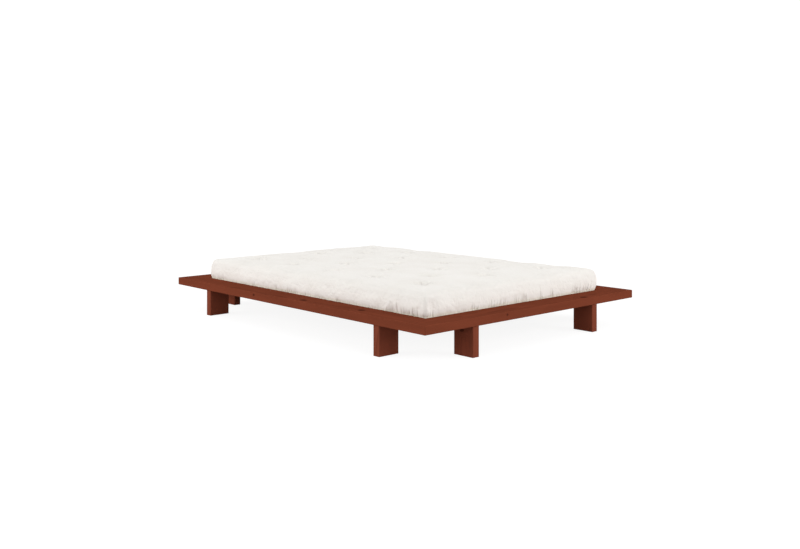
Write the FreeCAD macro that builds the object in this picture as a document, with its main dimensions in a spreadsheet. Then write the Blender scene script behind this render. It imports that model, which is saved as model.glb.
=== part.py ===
import FreeCAD, Part
import math
import os
import re

import Sketcher
from FreeCAD import Placement, Rotation, Vector

# A low platform bed: four flat boards mitred into a wide rim, eight board legs, a slatted
# base inside the rim, and a tufted futon mattress that lies loose on the slats.
# Lengths are in millimetres. The origin is on the floor under the middle of the bed:
# X runs across the bed, Y from the foot end to the head end, and Z up.

os.makedirs("parts", exist_ok=True)
doc = FreeCAD.newDocument("FutonBed")
sheet = doc.addObject("Spreadsheet::Sheet", "Sizes")

# Driving dimensions
SIZES = {
    # The rim of flat boards around the mattress
    "opening_width": 1400,
    "opening_length": 2000,
    "board_width": 145,
    "board_thickness": 45,
    "board_edge_round": 3,
    "board_corner_round": 5,
    # Mitre dowels and the corner plates below them
    "dowel_diameter": 10,
    "dowel_length": 50,
    "plate_arm": 190,
    "plate_width": 50,
    "plate_thickness": 3,
    "plate_inset": 45,
    "plate_screw_margin": 30,
    # Board legs
    "leg_height": 155,
    "leg_depth": 130,
    "leg_thickness": 45,
    "leg_edge_inset": 10,
    "leg_end_inset": 335,
    "right_leg_end_inset": 250,
    "leg_edge_flat": 2,
    # Long bolts that come up through the legs
    "bolt_diameter": 8,
    "bolt_head_diameter": 13,
    "bolt_head_height": 8,
    "bolt_grip": 95,
    "bolt_end_gap": 5,
    "bolt_spacing": 76,
    "washer_diameter": 20,
    "washer_thickness": 2,
    "counterbore_diameter": 23,
    "insert_diameter": 12,
    "insert_length": 24,
    # Slats, their ledgers and tapes
    "slat_width": 70,
    "slat_thickness": 15,
    "slat_recess": 10,
    "slat_side_gap": 4,
    "slat_end_gap": 25,
    "slat_edge_flat": 2,
    "ledger_width": 28,
    "ledger_height": 32,
    "ledger_end_gap": 2,
    "ledger_screw_margin": 100,
    "tape_width": 25,
    "tape_thickness": 1.5,
    "tape_offset": 350,
    # Centre beam, its hangers and its legs
    "beam_width": 45,
    "beam_height": 50,
    "beam_edge_flat": 2,
    "hanger_thickness": 3,
    "hanger_seat": 40,
    "hanger_flange": 26,
    "hanger_top_gap": 8,
    "centre_leg_side": 45,
    "centre_leg_spacing": 700,
    "stud_diameter": 8,
    "stud_length": 70,
    # Wood screws with countersunk heads
    "screw_diameter": 4.5,
    "screw_head_diameter": 9,
    "screw_head_height": 2.7,
    "short_screw_length": 30,
    "long_screw_length": 55,
    "hanger_screw_length": 35,
    # The futon mattress
    "futon_side_gap": 3,
    "futon_end_gap": 5,
    "futon_thickness": 138,
    "futon_corner": 18,
    "futon_shoulder": 200,
    "core_inset": 62,
    "core_base": 30,
    "core_thickness": 60,
    "core_corner": 40,
    "tuft_side_margin": 217,
    "tuft_end_margin": 245,
    "dimple_depth": 22,
    "dimple_reach": 105,
    "under_recess": 9,
    "tie_diameter": 5,
    "tuft_diameter": 24,
    "tuft_height": 6,
    # Clearances and the overrun of cuts
    "fit_gap": 0.1,
    "soft_gap": 0.3,
    "overrun": 5,
}

# Counts
SLAT_COUNT = 16
LEDGER_SCREW_COUNT = 6
TUFT_COLUMNS = 3
TUFT_ROWS = 5

# Small round pieces and their bores have flat sides, because there are so many of them
SMALL_SIDES = 6
WASHER_SIDES = 8
DIMPLE_SIDES = 9

# How far an edge may stray from level or upright and still count as such
LEVEL_SHARE = 0.001

# Sizes that follow from the driving ones
FORMULAS = {
    "rim_width": "opening_width + 2 * board_width",
    "rim_length": "opening_length + 2 * board_width",
    "rim_top": "leg_height + board_thickness",
    "slat_top": "rim_top - slat_recess",
    "slat_underside": "slat_top - slat_thickness",
    "slat_length": "opening_width - 2 * slat_side_gap",
    "leg_centre_inset": "leg_end_inset + leg_thickness / 2",
    "right_leg_centre_inset": "right_leg_end_inset + leg_thickness / 2",
    "counterbore_depth": "leg_height - bolt_grip",
    "bolt_shank": "washer_thickness + bolt_grip + insert_length - bolt_end_gap",
    "ledger_length": "opening_length - 2 * ledger_end_gap",
    "ledger_screw_level": "leg_height / 2 + slat_underside / 2",
    "beam_underside": "slat_underside - beam_height",
    "beam_length": "opening_length - 2 * hanger_thickness - 2 * fit_gap",
    "hanger_inside": "beam_width + 2 * fit_gap",
    "hanger_outside": "hanger_inside + 2 * hanger_thickness",
    "hanger_span": "hanger_outside + 2 * hanger_flange",
    "hanger_height": "beam_height + hanger_thickness",
    "flange_top": "rim_top - hanger_top_gap - beam_underside + hanger_thickness",
    "flange_base": "leg_height - beam_underside + hanger_thickness",
    "futon_width": "opening_width - 2 * futon_side_gap",
    "futon_length": "opening_length - 2 * futon_end_gap",
    "futon_base": "slat_top + soft_gap",
    "futon_top": "futon_base + futon_thickness",
    "core_width": "futon_width - 2 * core_inset",
    "core_length": "futon_length - 2 * core_inset",
    "tuft_spacing_across": f"(futon_width - 2 * tuft_side_margin) / {TUFT_COLUMNS - 1}",
    "tuft_spacing_along": f"(futon_length - 2 * tuft_end_margin) / {TUFT_ROWS - 1}",
}


def expand(text):
    """A size formula with each name replaced by its cell, or by its own formula."""

    def swap(word):
        name = word.group(0)
        if name in FORMULAS:
            return "(" + expand(FORMULAS[name]) + ")"
        return "Sizes." + name if name in SIZES else name

    return re.sub(r"[a-z_]+", swap, text)


def size(text):
    """The present value of a size formula."""
    return float(sheet.evalExpression(expand(text)))


def bind(item, formulas):
    """Ties properties of an object to size formulas."""
    for property_name, text in formulas.items():
        item.setExpression(property_name, expand(text))


for row, (alias, number) in enumerate(SIZES.items(), start=1):
    sheet.set(f"A{row}", alias)
    sheet.set(f"B{row}", str(number))
    sheet.setAlias(f"B{row}", alias)
doc.recompute()


# Sketching helpers
def new_sketch(body, role, name, height="0"):
    """An empty sketch on one of the body's own origin planes, raised by a formula."""
    sketch = body.newObject("Sketcher::SketchObject", name)
    plane = next(item for item in body.Origin.OriginFeatures if item.Role == role)
    sketch.AttachmentSupport = [(plane, "")]
    sketch.MapMode = "FlatFace"
    if height != "0":
        bind(sketch, {".AttachmentOffset.Base.z": height})
    return sketch


def pin_point(sketch, geometry, point, across, up):
    """Fixes a point of a sketch at two formulas measured from the sketch's origin."""
    for direction, axis, text in (("DistanceX", -2, across), ("DistanceY", -1, up)):
        if text == "0":
            sketch.addConstraint(Sketcher.Constraint("PointOnObject", geometry, point, axis))
            continue
        value = size(text)
        number = sketch.addConstraint(Sketcher.Constraint(direction, -1, 1, geometry, point, value))
        bind(sketch, {f"Constraints[{number}]": text})


def arc_middle(start, end, radius):
    """The middle of a round corner whose centre lies to the left of the way from start to end."""
    chord = end - start
    half = chord.Length / 2
    left = Vector(-chord.y, chord.x, 0).normalize()
    return (start + end) / 2 - left * (radius - math.sqrt(radius**2 - half**2))


def draw_outline(sketch, corners, rounds=None):
    """A closed outline, anticlockwise, through pairs of formulas. rounds gives the radius
    of each side that is an arc, by the side's number."""
    rounds = rounds or {}
    first = sketch.GeometryCount
    points = [Vector(size(across), size(up), 0) for across, up in corners]
    count = len(points)
    for side in range(count):
        start, end = points[side], points[(side + 1) % count]
        if side in rounds:
            middle = arc_middle(start, end, size(rounds[side]))
            sketch.addGeometry(Part.Arc(start, middle, end))
        else:
            sketch.addGeometry(Part.LineSegment(start, end))
    for side in range(count):
        after = first + (side + 1) % count
        sketch.addConstraint(Sketcher.Constraint("Coincident", first + side, 2, after, 1))
    for side, (across, up) in enumerate(corners):
        pin_point(sketch, first + side, 1, across, up)
    for side, radius in rounds.items():
        number = sketch.addConstraint(Sketcher.Constraint("Radius", first + side, size(radius)))
        bind(sketch, {f"Constraints[{number}]": radius})


def draw_rectangle(sketch, left, right, low, high):
    """A plain rectangle between four formulas."""
    draw_outline(sketch, [(left, low), (right, low), (right, high), (left, high)])


def draw_rounded_rectangle(sketch, half_width, half_length, corner):
    """A rectangle about the origin with four quarter-round corners."""
    near_x, near_y = f"{half_width} - {corner}", f"{half_length} - {corner}"
    corners = [
        (f"-({near_x})", f"-({half_length})"), (near_x, f"-({half_length})"),
        (half_width, f"-({near_y})"), (half_width, near_y),
        (near_x, half_length), (f"-({near_x})", half_length),
        (f"-({half_width})", near_y), (f"-({half_width})", f"-({near_y})"),
    ]
    draw_outline(sketch, corners, {1: corner, 3: corner, 5: corner, 7: corner})


def flat_sided_turns(sides):
    """The angles in degrees of a regular polygon's corners, with a side square to the first axis."""
    return [360 * (number + 1 / 2) / sides for number in range(sides)]


def draw_bores(sketch, diameter, centres, sides=SMALL_SIDES):
    """Flat-sided holes of one diameter at pairs of formulas."""
    for across, up in centres:
        corners = [(f"{across} + ({diameter}) / 2 * cos({turn} deg)",
                    f"{up} + ({diameter}) / 2 * sin({turn} deg)")
                   for turn in flat_sided_turns(sides)]
        draw_outline(sketch, corners)


# Feature helpers
UP = Vector(0, 0, 1)
pieces = []


def new_body(label):
    body = doc.addObject("PartDesign::Body", label)
    body.Label = label
    return body


def pad(body, sketch, length):
    feature = body.newObject("PartDesign::Pad", sketch.Name + "_pad")
    feature.Profile = sketch
    bind(feature, {"Length": length})
    doc.recompute()
    return feature


def pocket(body, sketch, depth):
    """A cut from the sketch along its normal, which has to take some wood away."""
    before = body.Shape.Volume
    feature = body.newObject("PartDesign::Pocket", sketch.Name + "_pocket")
    feature.Profile = sketch
    feature.Reversed = True
    bind(feature, {"Length": depth})
    doc.recompute()
    if body.Shape.Volume >= before:
        raise ValueError(f"{feature.Name} cuts nothing")
    return feature


def ease(body, feature, reach, wanted, kind="Fillet"):
    """Takes off the edges of the last feature that the test wanted picks out."""
    names = [f"Edge{n}" for n, edge in enumerate(feature.Shape.Edges, start=1) if wanted(edge)]
    eased = body.newObject("PartDesign::" + kind, feature.Name + "_eased")
    eased.Base = (feature, names)
    bind(eased, {"Radius" if kind == "Fillet" else "Size": reach})
    doc.recompute()
    return eased


def put(item, turn, across, along, up):
    """Places an object by a turn about Z in degrees and three formulas."""
    item.Placement = Placement(Vector(), Rotation(UP, turn))
    bind(item, {
        ".Placement.Base.x": across,
        ".Placement.Base.y": along,
        ".Placement.Base.z": up,
    })


def level(edge):
    """True for an edge that stays at one height."""
    box = edge.BoundBox
    return box.ZLength < box.DiagonalLength * LEVEL_SHARE


def upright(edge):
    """True for an edge that runs straight up."""
    box = edge.BoundBox
    return box.ZLength > box.DiagonalLength * (1 - LEVEL_SHARE)


def slanted_in_plan(edge):
    """True for a straight edge that follows a mitre."""
    box = edge.BoundBox
    straight = edge.Curve.TypeId == "Part::GeomLine"
    return straight and min(box.XLength, box.YLength) > box.DiagonalLength * LEVEL_SHARE


def collect(label, shapes):
    """Several separate solids kept together as one piece."""
    group = doc.addObject("Part::Feature", label)
    group.Label = label
    group.Shape = Part.makeCompound(shapes)
    return group


def flat_sided_bar(sections, sides=SMALL_SIDES):
    """A flat-sided bar about Z through (diameter, height) sections, in order upwards."""
    angles = [math.radians(turn) for turn in flat_sided_turns(sides)]
    spokes = [Vector(math.cos(angle), math.sin(angle), 0) for angle in angles]
    rings = [[spoke * (diameter / 2) + UP * height for spoke in spokes] for diameter, height in sections]
    outlines = [rings[0], rings[-1]]
    for low, high in zip(rings, rings[1:]):
        for number in range(sides):
            outlines.append([low[number - 1], low[number], high[number], high[number - 1]])
    faces = [Part.Face(Part.makePolygon(outline + outline[:1])) for outline in outlines]
    return Part.makeSolid(Part.makeShell(faces))


def tube(outer, inner, length, sides=SMALL_SIDES):
    """A flat-sided sleeve about Z, with its hole run clear through both ends."""
    over = size("overrun")
    wall = flat_sided_bar([(outer, 0), (outer, length)], sides)
    return wall.cut(flat_sided_bar([(inner, -over), (inner, length + over)]))


def aimed(shape, start, direction):
    """A copy of a shape that was made along +Z, moved to a point and a direction."""
    copy = shape.copy()
    copy.Placement = Placement(start, Rotation(UP, direction))
    return copy


def rod(diameter, length, start, direction):
    """A plain bar from a point along a direction."""
    return aimed(flat_sided_bar([(diameter, 0), (diameter, length)]), start, direction)


def cut_from(label, base, *stages):
    """A piece with the tool shapes that reach it taken out. Those of one stage stay clear of
    each other."""
    base.Label = label + "_blank"
    for number, tools in enumerate(stages, start=1):
        reaching = [tool for tool in tools if tool.BoundBox.intersect(base.Shape.BoundBox)]
        result = doc.addObject("Part::Cut", f"{label}_cut_{number}")
        result.Base = base
        result.Tool = collect(f"{label}_tools_{number}", reaching)
        doc.recompute()
        if result.Shape.Volume >= base.Shape.Volume:
            raise ValueError(f"{result.Name} takes nothing away")
        base = result
    result.Label = label
    return result


# Places of the corners, as signs across and along the bed
CORNERS = {
    "foot_left": (-1, -1, 0),
    "foot_right": (1, -1, 90),
    "head_right": (1, 1, 180),
    "head_left": (-1, 1, 270),
}
SIDES = {"left": (-1, 270), "right": (1, 90)}
ENDS = {"foot": (-1, 0), "head": (1, 180)}

# Places of the side legs along their boards: those on the right stand nearer to the corners
SIDE_LEG_PLACES = {
    "left": "rim_length / 2 - leg_centre_inset",
    "right": "rim_length / 2 - right_leg_centre_inset",
}


# Mitre dowels: two beech dowels across each mitre, in the middle of the boards' thickness
dowel_place_shares = (0.34, 0.66)
dowels = []
dowel_bores = []
gap = size("fit_gap")
for across, along, _ in CORNERS.values():
    corner = Vector(across * size("rim_width / 2"), along * size("rim_length / 2"), 0)
    inwards = Vector(-across, -along, 0)
    axis = Vector(across, -along, 0).normalize()
    for share in dowel_place_shares:
        middle = corner + inwards * (share * size("board_width"))
        middle.z = size("leg_height + board_thickness / 2")
        start = middle - axis * size("dowel_length / 2")
        dowels.append(rod(size("dowel_diameter"), size("dowel_length"), start, axis))
        bore_length = size("dowel_length + 2 * fit_gap")
        bore_start = start - axis * gap
        dowel_bores.append(rod(size("dowel_diameter + 2 * fit_gap"), bore_length, bore_start, axis))
pieces.append(collect("mitre_dowels", dowels))


# Wood screws: a countersunk head and a plain shank, drawn pointing up from the head
def wood_screw(length, spare=0):
    head = size("screw_head_diameter") + 2 * spare
    shank = size("screw_diameter") + 2 * spare
    sink = size("screw_head_height")
    collar = [(head, -spare)] if spare else []
    return flat_sided_bar(collar + [(head, 0), (shank, sink), (shank, length + spare)])


def screw_set(label, places, length):
    """The screws at a list of places, each a point and a direction, and the bores they need."""
    screw, bore = wood_screw(size(length)), wood_screw(size(length), gap)
    pieces.append(collect(label, [aimed(screw, *place) for place in places]))
    return [aimed(bore, *place) for place in places]


# Corner plate screws: two through each arm of the four plates
plate_screw_places = []
far_hole = size("plate_arm - plate_screw_margin")
near_hole = size("plate_width + plate_screw_margin")
for across, along, _ in CORNERS.values():
    corner_x = across * size("rim_width / 2 - plate_inset")
    corner_y = along * size("rim_length / 2 - plate_inset")
    for hole in (near_hole, far_hole):
        for step_x, step_y in ((hole, size("plate_width / 2")), (size("plate_width / 2"), hole)):
            spot = Vector(corner_x - across * step_x, corner_y - along * step_y, 0)
            spot.z = size("leg_height - plate_thickness")
            plate_screw_places.append((spot, UP))
plate_bores = screw_set("corner_plate_screws", plate_screw_places, "short_screw_length")

# Ledger screws: in a row along each ledger, into the side boards
ledger_screw_places = []
for across, _ in SIDES.values():
    first = size("-ledger_length / 2 + ledger_screw_margin")
    pitch = size("ledger_length - 2 * ledger_screw_margin") / (LEDGER_SCREW_COUNT - 1)
    for number in range(LEDGER_SCREW_COUNT):
        inner_face = across * size("opening_width / 2 - ledger_width")
        spot = Vector(inner_face, first + number * pitch, size("ledger_screw_level"))
        ledger_screw_places.append((spot, Vector(across, 0, 0)))
ledger_bores = screw_set("ledger_screws", ledger_screw_places, "long_screw_length")

# Hanger screws: two through each flange of the two beam hangers, into the end boards
flange_screw_shares = (0.25, 0.75)
hanger_screw_places = []
flange_middle = size("hanger_outside / 2 + hanger_flange / 2")
for along, _ in ENDS.values():
    for side in (-flange_middle, flange_middle):
        for share in flange_screw_shares:
            low, high = size("leg_height"), size("rim_top - hanger_top_gap")
            face = along * size("opening_length / 2 - hanger_thickness")
            spot = Vector(side, face, low + share * (high - low))
            hanger_screw_places.append((spot, Vector(0, along, 0)))
hanger_bores = screw_set("hanger_screws", hanger_screw_places, "hanger_screw_length")

# End slat screws: one through each end of the first and last slat, down into the ledgers
end_slat_screw_places = []
for across, _ in SIDES.values():
    for along, _ in ENDS.values():
        spot = Vector(across * size("opening_width / 2 - ledger_width / 2"), 0, size("slat_top"))
        spot.y = along * size("opening_length / 2 - slat_end_gap - slat_width / 2")
        end_slat_screw_places.append((spot, -UP))
end_slat_bores = screw_set("end_slat_screws", end_slat_screw_places, "short_screw_length")


# Boards of the rim: mitred at both ends, with eased edges and round tips, and bored from
# below for the threaded inserts of their two legs
def rim_board(label, length, leg_place, turn, across, along):
    body = new_body(label + "_body")
    tip = "board_corner_round"
    on_mitre = f"{tip} * (1 - sqrt(2) / 2)"
    corners = [
        (f"-{length} / 2 + {tip}", "0"), (f"{length} / 2 - {tip}", "0"),
        (f"{length} / 2 - {on_mitre}", on_mitre),
        (f"{length} / 2 - board_width", "board_width"),
        (f"-{length} / 2 + board_width", "board_width"),
        (f"-{length} / 2 + {on_mitre}", on_mitre),
    ]
    plan = new_sketch(body, "XY_Plane", label + "_plan")
    draw_outline(plan, corners, {1: tip, 5: tip})
    blank = pad(body, plan, "board_thickness")
    ease(body, blank, "board_edge_round", lambda edge: level(edge) and not slanted_in_plan(edge))
    bores = new_sketch(body, "XY_Plane", label + "_insert_bores")
    spots = [(f"{sign}({leg_place})", f"leg_edge_inset + leg_depth / 2 {step} bolt_spacing / 2")
             for sign in ("-", "") for step in ("-", "+")]
    draw_bores(bores, "insert_diameter + 2 * fit_gap", spots)
    pocket(body, bores, "insert_length + fit_gap")
    put(body, turn, across, along, "leg_height")
    doc.recompute()
    return body


for side, (across, turn) in SIDES.items():
    label = "side_board_" + side
    board = rim_board(label, "rim_length", SIDE_LEG_PLACES[side], turn,
                      f"{across} * rim_width / 2", "0")
    pieces.append(cut_from(label, board, dowel_bores + plate_bores + ledger_bores))
for end, (along, turn) in ENDS.items():
    label = "end_board_" + end
    board = rim_board(label, "rim_width", "rim_width / 2 - leg_centre_inset", turn,
                      "0", f"{along} * rim_length / 2")
    pieces.append(cut_from(label, board, dowel_bores + plate_bores + hanger_bores))


# Corner plates: flat steel angles under the mitres
for corner, (across, along, turn) in CORNERS.items():
    label = "corner_plate_" + corner
    body = new_body(label + "_body")
    plan = new_sketch(body, "XY_Plane", label + "_plan")
    draw_outline(plan, [("0", "0"), ("plate_arm", "0"), ("plate_arm", "plate_width"),
                        ("plate_width", "plate_width"), ("plate_width", "plate_arm"),
                        ("0", "plate_arm")])
    pad(body, plan, "plate_thickness")
    put(body, turn, f"{across} * (rim_width / 2 - plate_inset)",
        f"{along} * (rim_length / 2 - plate_inset)", "leg_height - plate_thickness")
    doc.recompute()
    pieces.append(cut_from(label, body, plate_bores))


# Legs: short upright boards with flatted edges, drilled right through for two bolts and
# counterbored from below for the bolt heads
def board_leg(label, turn, across, along):
    body = new_body(label)
    plan = new_sketch(body, "XY_Plane", label + "_plan")
    draw_rectangle(plan, "-leg_thickness / 2", "leg_thickness / 2", "0", "leg_depth")
    blank = pad(body, plan, "leg_height")
    ease(body, blank, "leg_edge_flat", upright, "Chamfer")
    spots = [("0", f"leg_depth / 2 {step} bolt_spacing / 2") for step in ("-", "+")]
    drilled = new_sketch(body, "XY_Plane", label + "_bolt_holes")
    draw_bores(drilled, "bolt_diameter + 2 * fit_gap", spots)
    pocket(body, drilled, "leg_height")
    sunk = new_sketch(body, "XY_Plane", label + "_counterbores")
    draw_bores(sunk, "counterbore_diameter", spots, WASHER_SIDES)
    pocket(body, sunk, "counterbore_depth")
    put(body, turn, across, along, "0")
    doc.recompute()
    pieces.append(body)
    return body


legs = []
for side, (across, turn) in SIDES.items():
    for end, (along, _) in ENDS.items():
        legs.append(board_leg(f"leg_{side}_{end}", turn,
                              f"{across} * (rim_width / 2 - leg_edge_inset)",
                              f"{along} * ({SIDE_LEG_PLACES[side]})"))
for end, (along, turn) in ENDS.items():
    for side, (across, _) in SIDES.items():
        legs.append(board_leg(f"leg_{end}_{side}", turn,
                              f"{across} * (rim_width / 2 - leg_centre_inset)",
                              f"{along} * (rim_length / 2 - leg_edge_inset)"))

# Leg bolts with washers, and the threaded inserts that they reach in the boards
bolt_spots = []
for leg in legs:
    for step in (-1, 1):
        local = Vector(0, size("leg_depth / 2") + step * size("bolt_spacing / 2"), 0)
        bolt_spots.append(leg.Placement * Placement(local, Rotation()))
washer_base = size("counterbore_depth - washer_thickness")
head, shank = size("bolt_head_diameter"), size("bolt_diameter")
bolt = flat_sided_bar([(head, -size("bolt_head_height")), (head, 0),
                       (shank, 0), (shank, size("bolt_shank"))])
bolt_hole = size("bolt_diameter + 2 * fit_gap")
washer = tube(size("washer_diameter"), bolt_hole, size("washer_thickness"), WASHER_SIDES)
insert = tube(size("insert_diameter"), bolt_hole, size("insert_length"))
for label, shape, height in (("leg_bolts", bolt, washer_base), ("leg_washers", washer, washer_base),
                             ("leg_inserts", insert, size("leg_height"))):
    raised = aimed(shape, UP * height, UP)
    copies = [raised.transformed(spot.Matrix) for spot in bolt_spots]
    pieces.append(collect(label, copies))


# Slat ledgers: square battens screwed along the inner faces of the side boards
for side, (across, turn) in SIDES.items():
    label = "slat_ledger_" + side
    body = new_body(label + "_body")
    plan = new_sketch(body, "XY_Plane", label + "_plan")
    draw_rectangle(plan, "-ledger_length / 2", "ledger_length / 2", "0", "ledger_width")
    pad(body, plan, "ledger_height")
    put(body, turn, f"{across} * opening_width / 2", "0", "slat_underside - ledger_height")
    doc.recompute()
    pieces.append(cut_from(label, body, ledger_bores + end_slat_bores))


# Centre beam: a batten on edge under the middle of the slats, bored for the studs of its legs
def stud_spots():
    return [("0", f"{sign}centre_leg_spacing / 2") for sign in ("-", "")]


beam = new_body("centre_beam")
beam_plan = new_sketch(beam, "XY_Plane", "centre_beam_plan")
draw_rectangle(beam_plan, "-beam_width / 2", "beam_width / 2", "-beam_length / 2", "beam_length / 2")
beam_blank = pad(beam, beam_plan, "beam_height")
ease(beam, beam_blank, "beam_edge_flat", lambda edge: level(edge) and edge.Length > size("beam_width"),
     "Chamfer")
beam_bores = new_sketch(beam, "XY_Plane", "centre_beam_stud_bores")
draw_bores(beam_bores, "stud_diameter + 2 * fit_gap", stud_spots())
pocket(beam, beam_bores, "stud_length / 2 + fit_gap")
put(beam, 0, "0", "0", "beam_underside")
doc.recompute()
pieces.append(beam)

# Beam hangers: bent steel saddles with two screw flanges, one on each end board
for end, (along, turn) in ENDS.items():
    label = "beam_hanger_" + end
    body = new_body(label + "_body")
    seat = new_sketch(body, "XZ_Plane", label + "_saddle")
    inside, outside = "hanger_inside / 2", "hanger_outside / 2"
    draw_outline(seat, [
        (f"-{outside}", "0"), (outside, "0"), (outside, "hanger_height"), (inside, "hanger_height"),
        (inside, "hanger_thickness"), (f"-{inside}", "hanger_thickness"),
        (f"-{inside}", "hanger_height"), (f"-{outside}", "hanger_height"),
    ])
    saddle = pad(body, seat, "hanger_seat")
    saddle.Reversed = True
    face = new_sketch(body, "XZ_Plane", label + "_flanges")
    wide = "hanger_span / 2"
    draw_outline(face, [
        (f"-{outside}", "0"), (outside, "0"), (outside, "flange_base"), (wide, "flange_base"),
        (wide, "flange_top"), (f"-{wide}", "flange_top"), (f"-{wide}", "flange_base"),
        (f"-{outside}", "flange_base"),
    ])
    flange = pad(body, face, "hanger_thickness")
    flange.Reversed = True
    put(body, turn, "0", f"{along} * opening_length / 2", "beam_underside - hanger_thickness")
    doc.recompute()
    pieces.append(cut_from(label, body, hanger_bores))

# Centre legs: square posts that carry the beam, each on a threaded stud
for end, (along, _) in ENDS.items():
    label = "centre_leg_" + end
    body = new_body(label)
    plan = new_sketch(body, "XY_Plane", label + "_plan")
    half = "centre_leg_side / 2"
    draw_rectangle(plan, f"-{half}", half, f"-{half}", half)
    post = pad(body, plan, "beam_underside")
    ease(body, post, "leg_edge_flat", upright, "Chamfer")
    bore_floor = "beam_underside - stud_length / 2 - fit_gap"
    bore = new_sketch(body, "XY_Plane", label + "_stud_bore", bore_floor)
    draw_bores(bore, "stud_diameter + 2 * fit_gap", [("0", "0")])
    pocket(body, bore, "stud_length")
    put(body, 0, "0", f"{along} * centre_leg_spacing / 2", "0")
    doc.recompute()
    pieces.append(body)
stud_base = size("beam_underside - stud_length / 2")
pieces.append(collect("centre_leg_studs", [
    rod(size("stud_diameter"), size("stud_length"), Vector(0, size(along), stud_base), UP)
    for _, along in stud_spots()]))


# Slats: thin boards with eased long edges, evenly spaced along the opening
slat_pitch = f"(opening_length - 2 * slat_end_gap - slat_width) / {SLAT_COUNT - 1}"
for number in range(SLAT_COUNT):
    label = f"slat_{number + 1:02d}"
    is_end_slat = number in (0, SLAT_COUNT - 1)
    body = new_body(label + "_body" if is_end_slat else label)
    plan = new_sketch(body, "XY_Plane", label + "_plan")
    draw_rectangle(plan, "-slat_length / 2", "slat_length / 2", "-slat_width / 2", "slat_width / 2")
    blank = pad(body, plan, "slat_thickness")
    ease(body, blank, "slat_edge_flat", lambda edge: level(edge) and edge.Length > size("slat_width"),
         "Chamfer")
    put(body, 0, "0", f"-opening_length / 2 + slat_end_gap + slat_width / 2 + {number} * {slat_pitch}",
        "slat_underside")
    doc.recompute()
    pieces.append(cut_from(label, body, end_slat_bores) if is_end_slat else body)

# Slat tapes: woven bands under the slats that keep their spacing
for side, (across, _) in SIDES.items():
    tape = doc.addObject("Part::Box", "slat_tape_" + side)
    bind(tape, {"Length": "tape_width", "Width": "opening_length - 2 * slat_end_gap",
                "Height": "tape_thickness"})
    put(tape, 0, f"{across} * tape_offset - tape_width / 2", "-opening_length / 2 + slat_end_gap",
        "slat_underside - tape_thickness")
    pieces.append(tape)


# Futon casing: cotton cloth over thick wadding. Level outlines from the gathered base seam,
# over the full side and the round top edge to the crown, each as a share of the thickness
# and a share of the shoulder that it stands in from the side.
casing_section_shares = (
    (0.000, 0.040), (0.080, 0.006), (0.550, 0.000), (0.760, 0.040), (0.880, 0.140), (0.945, 0.340),
    (1.000, 1.000),
)
casing = new_body("futon_casing_body")
levels = []
for number, (height_share, inset_share) in enumerate(casing_section_shares):
    plan = new_sketch(casing, "XY_Plane", f"futon_level_{number}", f"futon_thickness * {height_share}")
    draw_rounded_rectangle(plan, f"(futon_width / 2 - futon_shoulder * {inset_share})",
                           f"(futon_length / 2 - futon_shoulder * {inset_share})",
                           f"(futon_corner + futon_shoulder * {inset_share})")
    levels.append(plan)
form = casing.newObject("PartDesign::AdditiveLoft", "futon_form")
form.Profile = levels[0]
form.Sections = levels[1:]
form.Ruled = True
put(casing, 0, "0", "0", "futon_base")
doc.recompute()

# Tufts: staggered rows, with a flared dimple above and a plain recess below at each
tuft_spots = []
for column in range(2 * TUFT_COLUMNS - 1):
    rows = TUFT_ROWS - column % 2
    x = (column - (TUFT_COLUMNS - 1)) * size("tuft_spacing_across / 2")
    for row in range(rows):
        y = (row - (rows - 1) / 2) * size("tuft_spacing_along")
        tuft_spots.append(Vector(x, y, 0))

# The dimple's flank, from its rim to the tuft, as shares of its reach and of its depth
dimple_flank_shares = ((1.000, 0.000), (0.500, 0.260))
depth, reach = size("dimple_depth"), size("dimple_reach")
seat = size("tuft_diameter + 2 * soft_gap")
over = size("overrun")
flank = [(2 * reach * reach_share, -depth * depth_share) for reach_share, depth_share in dimple_flank_shares]
dimple = flat_sided_bar([(seat, -depth)] + flank[::-1] + [(2 * reach, over)], DIMPLE_SIDES)
recess = flat_sided_bar([(seat, -over), (seat, size("under_recess"))])
crown_level, base_level = size("futon_top"), size("futon_base")
channel = size("tie_diameter + 2 * soft_gap")
hollows = []
channels = []
for spot in tuft_spots:
    hollows.append(aimed(dimple, spot + UP * crown_level, UP))
    hollows.append(aimed(recess, spot + UP * base_level, UP))
    channels.append(rod(channel, size("futon_thickness"), spot + UP * base_level, UP))


def core_block(label, spare):
    """The foam core's block, or with some spare all round the space that it fills."""
    body = new_body(label)
    plan = new_sketch(body, "XY_Plane", label + "_plan")
    draw_rounded_rectangle(plan, f"(core_width / 2 + {spare})", f"(core_length / 2 + {spare})",
                           f"(core_corner + {spare})")
    pad(body, plan, f"core_thickness + 2 * {spare}")
    put(body, 0, "0", "0", f"futon_base + core_base - {spare}")
    doc.recompute()
    return body


core_space = core_block("futon_core_space", "soft_gap")
pieces.append(cut_from("futon_casing", casing, hollows, [core_space.Shape], channels))

# Futon core: a foam slab inside the wadding, with a channel for each tie
core = core_block("futon_core_body", "0")
pieces.append(cut_from("futon_core", core, channels))

# Tuft ties: waxed cotton twine through the futon, with a flat round tuft at each end
low = size("under_recess - soft_gap")
high = size("futon_thickness - dimple_depth + soft_gap")
tuft_height = size("tuft_height")
twine, tuft = size("tie_diameter"), size("tuft_diameter")
tuft_tie = flat_sided_bar([(tuft, low - tuft_height), (tuft, low), (twine, low),
                           (twine, high), (tuft, high), (tuft, high + tuft_height)])
pieces.append(collect("tuft_ties", [aimed(tuft_tie, spot + UP * base_level, UP) for spot in tuft_spots]))


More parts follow.
